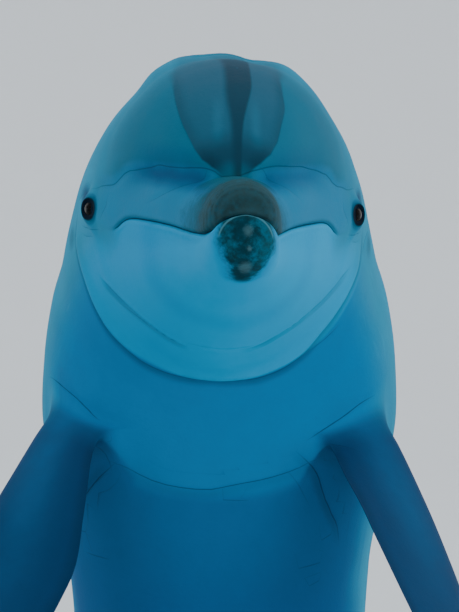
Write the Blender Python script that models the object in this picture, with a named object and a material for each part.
"""Life-size bottlenose dolphin, upright with its head level, on a plain display stand.

The animal is first described straight, along a spine measured in centimetres from the
tip of the snout, and then bent into its pose: the head looks forward along -Y, the neck
bends down and the trunk hangs almost upright behind it. +X is the animal's left side.
The origin is the middle of the stand's underside, so the floor is z = 0.
"""
import math

import bmesh
import bpy
import numpy as np
from mathutils import Matrix, Vector

CM = 0.01                      # body stations are in centimetres, the finished part in metres
GAP = 0.04                     # space between neighbouring pieces, in centimetres
SKIN_GAP = 0.05                # space between a fin or a rod and the body it meets
HEAD_COLUMNS = 32              # points round a section of the head
TRUNK_COLUMNS = 24             # and of the trunk and tail

# ---- Place of the animal over the stand, in centimetres -----------------------------
EYE_STATION = 33.0             # where along the spine the eyes are
EYE_HEIGHT = 219.0             # eye line above the floor
EYE_FORWARD = 31.0             # eye line in front of the middle of the base

# ---- How the spine bends: degrees below level, and degrees towards the left ---------
PITCH = ((0, 0), (32, 0), (38, 9), (44, 25), (50, 42), (56, 57), (63, 68), (73, 74),
         (100, 77), (150, 80), (200, 80), (225, 76), (250, 68), (262, 66))
YAW = ((0, 5), (7, 4.6), (14, 2.4), (33, 2.1), (40, 1.3), (46, .2), (54, -2), (60, -2.1),
       (66, -1.5), (73, -6), (82, -7), (90, -3), (96, 0), (262, 0))

# ---- The head and trunk, as (station, value) pairs in centimetres --------------------
# The height of the mouth line, then of the middle that the sections are drawn from.
MOUTH_END = 27.4
MIDDLE = ((0, -1.7), (.3, -1.3), (.8, -.6), (1.3, -.42), (2, -.75), (3, -1.1), (5, -1.4),
          (8, -1.35), (11, -1.15), (14, -.85), (19, -.5), (22, -.38), (23.5, -.45), (25, -.78),
          (26.5, -1.25), (28, -1.55), (30, -1.4), (33, -.6), (40, 0), (60, .2), (100, .2),
          (150, .4), (200, .4), (250, 0))
BODY = dict(                   # lower jaw, cheeks, trunk and tail
    start=0, end=262,
    half=((0, 0), (.3, 1.25), (.8, 1.95), (1.5, 2.35), (2.5, 2.65), (4, 2.9), (8, 3.35),
          (12, 4.3), (16, 5.8), (20, 7.2), (24, 8.5), (28, 9.8), (31, 10.9), (33, 11.7),
          (35, 12.3), (38, 13.1), (42, 14.3), (47, 15.3), (51, 16.1), (55, 17.3), (61, 18.3),
          (67, 18.7), (72, 18.2), (78, 17.2), (85, 16.2), (94, 15.9), (105, 16.2), (118, 16.3),
          (130, 15.8), (140, 14.8), (150, 13.9), (170, 11.2), (190, 7.7), (205, 5.3),
          (220, 3.6), (232, 2.9), (242, 2.2), (250, .3)),
    top=((0, -1.7), (.3, -.6), (.7, 0), (1.2, .3), (2, .4), (8, .3), (12, .6), (16, 1.5),
         (20, 2.8), (24, 5), (28, 8.6), (31, 11.4), (34, 13.3), (38, 14.6), (45, 15.8),
         (55, 17.3), (70, 19.4), (85, 20.8), (100, 21.6), (115, 21.4), (130, 20.2),
         (150, 17.6), (170, 14.4), (190, 11), (205, 8.6), (220, 6.2), (232, 4), (242, 2.2),
         (250, .3)),
    bottom=((0, -1.75), (.3, -2.8), (1, -3.6), (2, -4.2), (4, -4.9), (8, -5.9), (12, -7),
            (16, -8.4), (20, -9.9), (24, -11.5), (28, -13), (32, -14.2), (36, -15),
            (40, -15.5), (45, -16.1), (55, -17.2), (70, -19), (85, -20.6), (100, -21.4),
            (115, -21), (130, -19.6), (150, -16.4), (170, -12.8), (190, -9.5), (205, -7.4),
            (220, -5.4), (232, -3.6), (242, -2), (250, -.3)),
    level=((0, -1.72), (1.2, -1.8), (4, -2.6), (8, -3), (12, -3.3), (16, -3.4), (20, -3.2),
           (24, -2.6), (28, -2), (33, -1), (40, -.3), (60, .2), (100, .3), (150, .6),
           (200, .6), (250, 0)),
    power=((0, 2), (24, 1.9), (34, 1.8), (42, 1.9), (60, 2), (150, 2), (200, 1.8),
           (250, 1.9)))
UPPER_JAW = dict(              # beak and the band of the lip up to under the eye
    start=.9, end=60,
    half=((.9, .2), (1.1, 1.2), (1.5, 1.9), (2.2, 2.4), (3.5, 2.85), (5, 3.1), (8, 3.55),
          (12, 4.5), (16, 5.9), (20, 7.2), (24, 8.4), (28, 9.7), (31, 10.8), (33, 11.4),
          (36, 11.9), (60, 8)),
    top=((.9, .95), (1.2, 1.6), (1.7, 2), (2.5, 2.4), (4, 2.8), (6, 3), (9, 3.15), (12, 3.3),
         (15, 4.1), (18, 4.6), (23, 4.9), (28, 3.9), (33, 3), (36, 2.6), (60, 2)),
    bottom=((.9, .85), (1.2, -.2), (1.7, -1), (2.5, -2), (4, -3), (6, -3.4), (9, -3.5),
            (12, -3.5), (20, -3.4), (28, -3), (36, -3)),
    level=((.9, .9), (2.5, .1), (5, -.6), (8, -.7), (12, -.6), (20, .2), (28, .4), (36, 0)),
    power=((0, 2), (10, 2.1), (20, 2.5), (36, 2.2)))
MELON = dict(                  # the domed forehead
    start=11.3, end=60,
    half=((11.3, .3), (11.8, 1.6), (12.8, 2.9), (14.5, 4.2), (17, 5.6), (20, 7), (23, 8.4),
          (26, 9.5), (30, 10.7), (33, 11.2), (38, 11.4), (60, 8)),
    top=((11.3, 3.2), (12, 4.6), (13.2, 6.3), (15, 8.2), (17.5, 10.1), (20, 11.5),
         (24, 13), (28, 13.8), (32, 14), (38, 13.6), (60, 8)),
    bottom=((11.3, 3), (13, 1.5), (20, .5), (28, -1), (38, -3)),
    level=((11.3, 3.1), (14, 4.2), (20, 4.9), (28, 4.2), (38, 3)),
    power=((11, 2), (20, 1.95), (28, 1.87), (38, 1.9)))
LIP_BLEND = ((0, .15), (8, .3), (14, .8), (20, 2), (28, 3))       # fillet of lip and jaw
BROW_BLEND = ((0, .25), (12, .3), (20, .9), (28, 2.2), (36, 4))   # fillet of melon and beak

# ---- Named lengths of the body: first and last station, rows, half, columns ---------
LENGTHS = dict(
    jaw_lower=(.03, MOUTH_END, 19, "lower", HEAD_COLUMNS),
    beak_upper=(.97, 12.6, 13, "upper", HEAD_COLUMNS),
    forehead=(12.6, MOUTH_END, 15, "upper", HEAD_COLUMNS),
    head=(MOUTH_END, 37.0, 5, "whole", HEAD_COLUMNS),
    neck=(37.0, 52.0, 9, "whole", HEAD_COLUMNS),
    chest=(52.0, 82.0, 9, "whole", TRUNK_COLUMNS),
    trunk=(82.0, 122.0, 6, "whole", TRUNK_COLUMNS),
    abdomen=(122.0, 168.0, 7, "whole", TRUNK_COLUMNS),
    tail_stock=(168.0, 249.6, 16, "whole", TRUNK_COLUMNS),
)
LIP_START = .93                # the lower jaw is whole in front of this, and halved behind it

# ---- Eyes ---------------------------------------------------------------------------
EYE_RADIUS = 1.4
EYE_SIDE = 11.35               # from the middle of the head to the middle of the eyeball
EYE_LEVEL = .35

# ---- Fins: outlines as (distance along the fin, value) in centimetres ----------------
FOIL_POINTS = 14               # points round a fin's section
EDGE = .06                     # half thickness of a trailing edge
FLIPPER = dict(
    reach=40.0,
    front=((-4, 1.2), (0, .2), (5, -.9), (12, -1.1), (20, -.3), (28, 2), (34, 4.7),
           (38, 7.3), (40, 9.6)),
    back=((-4, 7.6), (0, 8.2), (6, 9), (11, 10.6), (18, 11.9), (26, 12.2), (33, 11.6),
          (38, 10.8), (40, 9.9)),
    half=((-4, 1.9), (0, 1.75), (6, 1.45), (15, 1.1), (28, .7), (38, .3), (40, .12)))
FLIPPER_ROOT = (15.6, 15.9, -19.8)    # front of the left flipper's root, from the eyes
FLIPPER_LEAN = 38.0                   # degrees that it reaches forward
FLIPPER_SPREAD = dict(left=26.0, right=30.0)   # degrees out from upright
FLIPPER_TURN = dict(                  # twist of each blade, degrees
    left=((-4, 46), (0, 48), (16, 65), (40, 68)),
    right=((-4, 48), (0, 56), (7, 60), (14, 52), (20, 42), (40, 41)))
DORSAL = dict(
    reach=24.5,
    front=((-5, -2), (0, 0), (4, 5.4), (9, 12), (14, 18.8), (18, 25), (21, 30.4), (23.5, 36.5),
           (24.5, 41)),
    back=((-5, 39), (0, 37), (3, 35.6), (7, 34.6), (12, 34.6), (17, 36.2), (21, 38.9),
          (23.5, 41.3), (24.5, 42.2)),
    half=((-5, 2.9), (0, 2.3), (5, 1.7), (12, 1.25), (20, .75), (23.5, .35), (24.5, .15)))
DORSAL_STATION = 105.0
DORSAL_LEVEL = 20.6
FLUKE = dict(
    reach=30.0,
    front=((0, 229), (2, 229.4), (4, 231), (8, 233.6), (13, 236.8), (19, 241.6), (24, 246.4),
           (28, 251), (30, 254)),
    back=((0, 249.2), (1, 250.6), (3, 252.6), (6, 253.9), (11, 254.2), (17, 253.6),
          (23, 253.4), (28, 254.2), (30, 255)),
    half=((0, 1.9), (3, 1.55), (8, 1.2), (16, .85), (24, .5), (28, .28), (30, .12)))

# ---- The stand, in metres ------------------------------------------------------------
BASE_SIZE = (0.90, 1.05, 0.030)
BASE_ROUND = 0.12
BASE_EDGE = 0.006
STRUT_LEAN = 14.0              # degrees that the rods lean back from upright
STRUTS = (                     # name, station it meets, its length, rod radius, pad radius
    ("belly", 142.0, "abdomen", .022, .042),
    ("tail", 205.0, "tail_stock", .016, .028),
)
FLANGE_THICK = 0.012
FLANGE_FACTOR = 2.6            # flange radius over rod radius
PAD_LONG = 0.045               # from a pad's lower end to where the rod's line meets the body
OVERRUN = 0.08                 # how far rods and pads run on before they are cut to fit
FLOOR_BLOCK = 0.5              # block that trims a rod's foot level

COLOURS = dict(                # base colour, roughness, metallic
    back=((.045, .085, .115), .42, 0),
    side=((.105, .215, .27), .45, 0),
    belly=((.23, .43, .52), .5, 0),
    throat=((.17, .38, .48), .48, 0),
    beak=((.035, .05, .06), .5, 0),
    fin=((.03, .07, .105), .42, 0),
    eye=((.006, .005, .006), .08, 0),
    steel=((.56, .57, .58), .3, 1),
    pad=((.05, .05, .055), .7, 0),
    base=((.33, .34, .35), .55, 0),
)


def through(stations, at):
    """Value at a place on the smooth curve through (place, value) pairs, with no overshoot."""
    xs = np.array([s[0] for s in stations], float)
    ys = np.array([s[1] for s in stations], float)
    at = np.asarray(at, float)
    step = np.diff(xs)
    rise = np.diff(ys) / step
    slope = np.zeros_like(ys)
    near = 2 * step[1:] + step[:-1]
    far = step[1:] + 2 * step[:-1]
    same = rise[:-1] * rise[1:] > 0
    slope[1:-1][same] = ((near + far)[same]
                         / (near[same] / rise[:-1][same] + far[same] / rise[1:][same]))
    slope[0], slope[-1] = rise[0], rise[-1]
    i = np.clip(np.searchsorted(xs, at) - 1, 0, len(step) - 1)
    t = np.clip((at - xs[i]) / step[i], 0, 1)
    return ((1 + 2 * t) * (1 - t) ** 2 * ys[i] + t * (1 - t) ** 2 * step[i] * slope[i]
            + t * t * (3 - 2 * t) * ys[i + 1] + t * t * (t - 1) * step[i] * slope[i + 1])


def distance(form, u, x, z):
    """Rough distance of a point from the surface of one form, negative inside it."""
    half = through(form["half"], u)
    level = through(form["level"], u)
    above = through(form["top"], u) - level
    below = level - through(form["bottom"], u)
    power = through(form["power"], u)
    rise = z - level
    tall = np.where(rise > 0, above, below)
    q = ((np.abs(x) / half) ** power + (np.abs(rise) / tall) ** power) ** (1 / power)
    d = np.hypot(x, rise) * (1 - 1 / np.maximum(q, 1e-6))
    return np.where((u < form["start"]) | (u > form["end"]), 99.0, d)


def blend(a, b, width):
    """The smaller of two distances, rounded where they are alike."""
    near = np.maximum(width - np.abs(a - b), 0) / width
    return np.minimum(a, b) - near * near * width / 4


def field(u, x, z):
    """Distance from the whole straight body."""
    jaws = blend(distance(BODY, u, x, z), distance(UPPER_JAW, u, x, z), through(LIP_BLEND, u))
    return blend(jaws, distance(MELON, u, x, z), through(BROW_BLEND, u))


def reach(u, angle):
    """Distance from the middle of each section out to the skin, at each angle."""
    u, angle = np.broadcast_arrays(u, angle)
    middle = through(MIDDLE, u)
    low, high = np.zeros(u.shape), np.full(u.shape, 30.0)
    for _ in range(24):
        mid = (low + high) / 2
        outside = field(u, mid * np.cos(angle), middle + mid * np.sin(angle)) > 0
        high = np.where(outside, mid, high)
        low = np.where(outside, low, mid)
    return low


def bend_spine(step=.25):
    """Stations, the spine's places measured from between the eyes, and its two angles."""
    u = np.arange(-2, 262 + step, step)
    pitch = np.radians(through(PITCH, u))
    yaw = -np.radians(through(YAW, u))
    ahead = np.stack([np.sin(yaw) * np.cos(pitch), np.cos(yaw) * np.cos(pitch),
                      -np.sin(pitch)], 1)
    moves = (ahead[1:] + ahead[:-1]) / 2 * step
    places = np.concatenate([[[0, 0, 0]], np.cumsum(moves, 0)])
    eyes = np.array([np.interp(EYE_STATION, u, places[:, k]) for k in range(3)])
    return u, places - eyes, pitch, yaw


SPINE = bend_spine()


def pose(u, x, z):
    """Bend points of the straight body into the pose, in centimetres from the eyes."""
    stations, places, pitches, yaws = SPINE
    u, x, z = np.broadcast_arrays(np.asarray(u, float), x, z)
    pitch, yaw = np.interp(u, stations, pitches), np.interp(u, stations, yaws)
    centre = np.stack([np.interp(u, stations, places[:, k]) for k in range(3)], -1)
    up = np.stack([np.sin(yaw) * np.sin(pitch), np.cos(yaw) * np.sin(pitch),
                   np.cos(pitch)], -1)
    side = np.stack([np.cos(yaw), -np.sin(yaw), np.zeros_like(yaw)], -1)
    return centre + x[..., None] * side + z[..., None] * up


def over_stand(points):
    """From centimetres measured from the eyes to metres over the stand."""
    return (np.asarray(points) + (0, -EYE_FORWARD, EYE_HEIGHT)) * CM


def section(u, half, columns, grow=0.0):
    """One ring round the body; a halved one is flat along the mouth line."""
    angle = np.arange(columns) * 2 * np.pi / columns
    out = reach(u, angle) + grow
    x, z = out * np.cos(angle), out * np.sin(angle)
    edge = out[0]
    if half == "upper":
        flat = z < 1e-6
        x = np.where(flat, edge * np.cos(angle), x)
        z = np.where(flat, GAP / 2, z)
    elif half == "lower" and u > LIP_START:
        flat = z > -1e-6
        x = np.where(flat, edge * np.cos(angle), x)
        z = np.where(flat, -GAP / 2, z)
    return pose(u, x, through(MIDDLE, u) + z)


def loft(name, rings):
    """A closed mesh object through rings of points, with a flat cap at each end."""
    count = len(rings[0])
    bm = bmesh.new()
    rows = [[bm.verts.new(p) for p in over_stand(ring)] for ring in rings]
    for near, far in zip(rows, rows[1:]):
        for i in range(count):
            j = (i + 1) % count
            bm.faces.new((near[i], near[j], far[j], far[i]))
    bm.faces.new(rows[0][::-1])
    bm.faces.new(rows[-1])
    bmesh.ops.recalc_face_normals(bm, faces=bm.faces)
    mesh = bpy.data.meshes.new(name)
    bm.to_mesh(mesh)
    bm.free()
    return bpy.data.objects.new(name, mesh)


def stations(name):
    """Rows along a named length, a gap short of the next length at each end."""
    first, last, rows, half, _ = LENGTHS[name]
    share = np.linspace(0, 1, rows + 1)
    if first < 1:
        share = share ** 1.7
    if name == "tail_stock":
        share = 1 - (1 - share) ** 1.35
    found = first + GAP / 2 + (last - first - GAP) * share
    if half == "lower":
        found = np.sort(np.concatenate([found, [LIP_START - .03, LIP_START + .02]]))
    return found


def body_length(name):
    """One named length of the body."""
    half, columns = LENGTHS[name][3:]
    return loft(name, [section(u, half, columns) for u in stations(name)])


def body_cutter(name, *lengths):
    """The skin of neighbouring lengths, grown by the gap, to cut what meets it."""
    columns = LENGTHS[lengths[0]][4]
    rows = np.concatenate([stations(length) for length in lengths])
    return loft(name, [section(u, "whole", columns, SKIN_GAP) for u in rows])


def foil(front, back, half):
    """A fin's section: (along the chord, across it), round in front and thin behind."""
    turn = np.arange(FOIL_POINTS) * 2 * np.pi / FOIL_POINTS
    share = (1 - np.cos(turn)) / 2
    thick = (2.969 * np.sqrt(share) - 1.26 * share - 3.516 * share ** 2
             + 2.843 * share ** 3 - 1.036 * share ** 4)
    across = np.sign(np.sin(turn)) * np.maximum(half * thick, EDGE * np.abs(np.sin(turn)) ** .3)
    across[np.abs(np.sin(turn)) < 1e-6] = 0
    return front + (back - front) * share, across


def fin_rings(shape, first, rows, place):
    """Rings of a fin from its root to its tip, each put in its place."""
    rings = []
    for share in np.linspace(0, 1, rows + 1):
        s = first + (shape["reach"] - first) * (1 - (1 - share) ** 1.5)
        along, across = foil(*(float(through(shape[k], s)) for k in ("front", "back", "half")))
        rings.append(place(s, along, across))
    return rings


def flipper_place(side):
    """Frame of one flipper: the blade leans forward, spreads outward and twists."""
    sign = 1 if side == "left" else -1
    lean, spread = math.radians(FLIPPER_LEAN), math.radians(FLIPPER_SPREAD[side])
    span = np.array([math.sin(spread) * math.cos(lean), -math.sin(lean),
                     -math.cos(spread) * math.cos(lean)])
    inward = np.array([-math.cos(spread), 0, -math.sin(spread)])
    deep = np.cross(inward, span)
    mirror = np.array([sign, 1, 1])

    def place(s, along, across):
        turn = math.radians(float(through(FLIPPER_TURN[side], s)))
        chord = math.cos(turn) * inward + math.sin(turn) * deep
        normal = np.cross(span, chord)
        points = (np.array(FLIPPER_ROOT) + s * span + along[:, None] * chord
                  + across[:, None] * normal)
        return points * mirror

    return place


def dorsal_place(s, along, across):
    """The dorsal fin stands on the back, its chord along the spine."""
    return pose(DORSAL_STATION + along, across, np.full_like(along, DORSAL_LEVEL + s))


def fluke_place(side):
    """A fluke spreads sideways from the middle of the tail's end."""
    sign = 1 if side == "left" else -1
    return lambda s, along, across: pose(along, np.full_like(along, sign * (s + GAP / 2)), across)


def cut(target, cutter):
    """Take the cutter's space away from the target."""
    modifier = target.modifiers.new("cut " + cutter.name, "BOOLEAN")
    modifier.operation = "DIFFERENCE"
    modifier.solver = "EXACT"
    modifier.object = cutter


def add_sphere(name, centre, radius, segments=16, rings=9):
    """A sphere with its poles along X."""
    bpy.ops.mesh.primitive_uv_sphere_add(segments=segments, ring_count=rings, radius=radius,
                                         location=centre, rotation=(0, math.pi / 2, 0))
    sphere = bpy.context.object
    sphere.name = name
    return sphere


def add_rod(name, start, end, radius, sides=20):
    """A straight round rod between two points."""
    start, end = Vector(start), Vector(end)
    bpy.ops.mesh.primitive_cylinder_add(vertices=sides, radius=radius,
                                        depth=(end - start).length,
                                        location=(start + end) / 2)
    rod = bpy.context.object
    rod.name = name
    rod.rotation_euler = (end - start).to_track_quat("Z", "Y").to_euler()
    return rod


def make_materials():
    """One Principled material for each finish."""
    made = {}
    for name, (colour, roughness, metallic) in COLOURS.items():
        material = bpy.data.materials.new(name)
        material.use_nodes = True
        shader = material.node_tree.nodes["Principled BSDF"]
        shader.inputs["Base Color"].default_value = (*colour, 1)
        shader.inputs["Roughness"].default_value = roughness
        shader.inputs["Metallic"].default_value = metallic
        made[name] = material
    return made


class Model:
    """Puts finished pieces and cutters in their collections."""

    def __init__(self):
        self.parts = bpy.data.collections.new("dolphin")
        self.cutters = bpy.data.collections.new("cutters")
        for collection in (self.parts, self.cutters):
            bpy.context.scene.collection.children.link(collection)
        self.materials = make_materials()

    def move(self, thing, collection):
        for old in list(thing.users_collection):
            old.objects.unlink(thing)
        collection.objects.link(thing)

    def part(self, thing, finish):
        self.move(thing, self.parts)
        thing.data.materials.clear()
        thing.data.materials.append(self.materials[finish])
        thing.data.shade_smooth()
        thing.data.set_sharp_from_angle(angle=math.radians(35))
        return thing

    def cutter(self, thing):
        self.move(thing, self.cutters)
        thing.hide_render = True
        thing.display_type = "WIRE"
        return thing


def make_body(model):
    """The lengths of the head, trunk and tail, and the eyes in their sockets."""
    finishes = dict(jaw_lower="throat", beak_upper="beak", forehead="side", head="side",
                    neck="throat", chest="belly", trunk="side", abdomen="side",
                    tail_stock="back")
    pieces = {name: model.part(body_length(name), finishes[name]) for name in LENGTHS}
    for side, sign in (("left", 1), ("right", -1)):
        centre = over_stand(pose(EYE_STATION, sign * EYE_SIDE, EYE_LEVEL))
        model.part(add_sphere("eye_" + side, centre, EYE_RADIUS * CM), "eye")
        socket = add_sphere("socket_" + side, centre, (EYE_RADIUS + SKIN_GAP) * CM)
        cut(pieces["head"], model.cutter(socket))


def make_fins(model):
    """Flippers, dorsal fin and flukes, each cut to the body at its root."""
    chest = model.cutter(body_cutter("chest_skin", "chest", "trunk"))
    back = model.cutter(body_cutter("back_skin", "trunk", "abdomen"))
    tail = model.cutter(body_cutter("tail_skin", "tail_stock"))
    for side in ("left", "right"):
        rings = fin_rings(FLIPPER, -4, 12, flipper_place(side))
        cut(model.part(loft("flipper_" + side, rings), "fin"), chest)
        rings = fin_rings(FLUKE, 0, 11, fluke_place(side))
        cut(model.part(loft("fluke_" + side, rings), "fin"), tail)
    rings = fin_rings(DORSAL, -5, 11, dorsal_place)
    cut(model.part(loft("dorsal_fin", rings), "fin"), back)


def make_base(model):
    """A flat slab with round corners."""
    wide, deep, thick = BASE_SIZE
    bm = bmesh.new()
    bmesh.ops.create_cube(bm, size=1, matrix=Matrix.Diagonal((wide, deep, thick, 1)))
    bmesh.ops.translate(bm, verts=bm.verts, vec=(0, 0, thick / 2))
    corners = [e for e in bm.edges if abs(e.verts[0].co.z - e.verts[1].co.z) > thick / 2]
    bmesh.ops.bevel(bm, geom=corners, offset=BASE_ROUND, segments=7, affect="EDGES",
                    profile=.5, clamp_overlap=False)
    rim = [e for e in bm.edges if all(abs(v.co.z - thick) < 1e-6 for v in e.verts)]
    bmesh.ops.bevel(bm, geom=rim, offset=BASE_EDGE, segments=2, affect="EDGES", profile=.5)
    mesh = bpy.data.meshes.new("stand_base")
    bm.to_mesh(mesh)
    bm.free()
    model.part(bpy.data.objects.new("stand_base", mesh), "base")


def make_flange(model, name, bottom, radius):
    """A round foot plate for one rod, standing on the base."""
    bpy.ops.mesh.primitive_cylinder_add(vertices=24, radius=radius * FLANGE_FACTOR,
                                        depth=FLANGE_THICK,
                                        location=bottom + Vector((0, 0, FLANGE_THICK / 2)))
    flange = bpy.context.object
    flange.name = f"stand_flange_{name}"
    model.part(flange, "steel")


def make_struts(model):
    """Two leaning rods from flanges on the base up to pads that fit the body."""
    gap = SKIN_GAP * CM
    lean = math.radians(STRUT_LEAN)
    rise = Vector((0, math.sin(lean), math.cos(lean)))
    flange_bottom = BASE_SIZE[2] + gap
    foot_level = flange_bottom + FLANGE_THICK + gap
    for name, station, length, radius, pad_radius in STRUTS:
        skin = model.cutter(body_cutter(name + "_skin", length))
        under = float(through(MIDDLE, station) - reach(station, -math.pi / 2))
        meets = Vector(over_stand(pose(station, 0, under)))
        foot = meets - rise * ((meets.z - foot_level) / rise.z)
        make_flange(model, name, Vector((foot.x, foot.y, flange_bottom)), radius)
        pad_start = meets - rise * PAD_LONG
        rod = add_rod(f"stand_rod_{name}", foot - rise * OVERRUN, pad_start - rise * gap, radius)
        bpy.ops.mesh.primitive_cube_add(size=FLOOR_BLOCK,
                                        location=foot - Vector((0, 0, FLOOR_BLOCK / 2)))
        below = bpy.context.object
        below.name = name + "_below"
        cut(model.part(rod, "steel"), model.cutter(below))
        pad = add_rod(f"stand_pad_{name}", pad_start, meets + rise * OVERRUN, pad_radius)
        cut(model.part(pad, "pad"), skin)


def main():
    """Clear the scene and make the animal and its stand."""
    for thing in list(bpy.data.objects):
        bpy.data.objects.remove(thing, do_unlink=True)
    model = Model()
    make_body(model)
    make_fins(model)
    make_base(model)
    make_struts(model)


main()
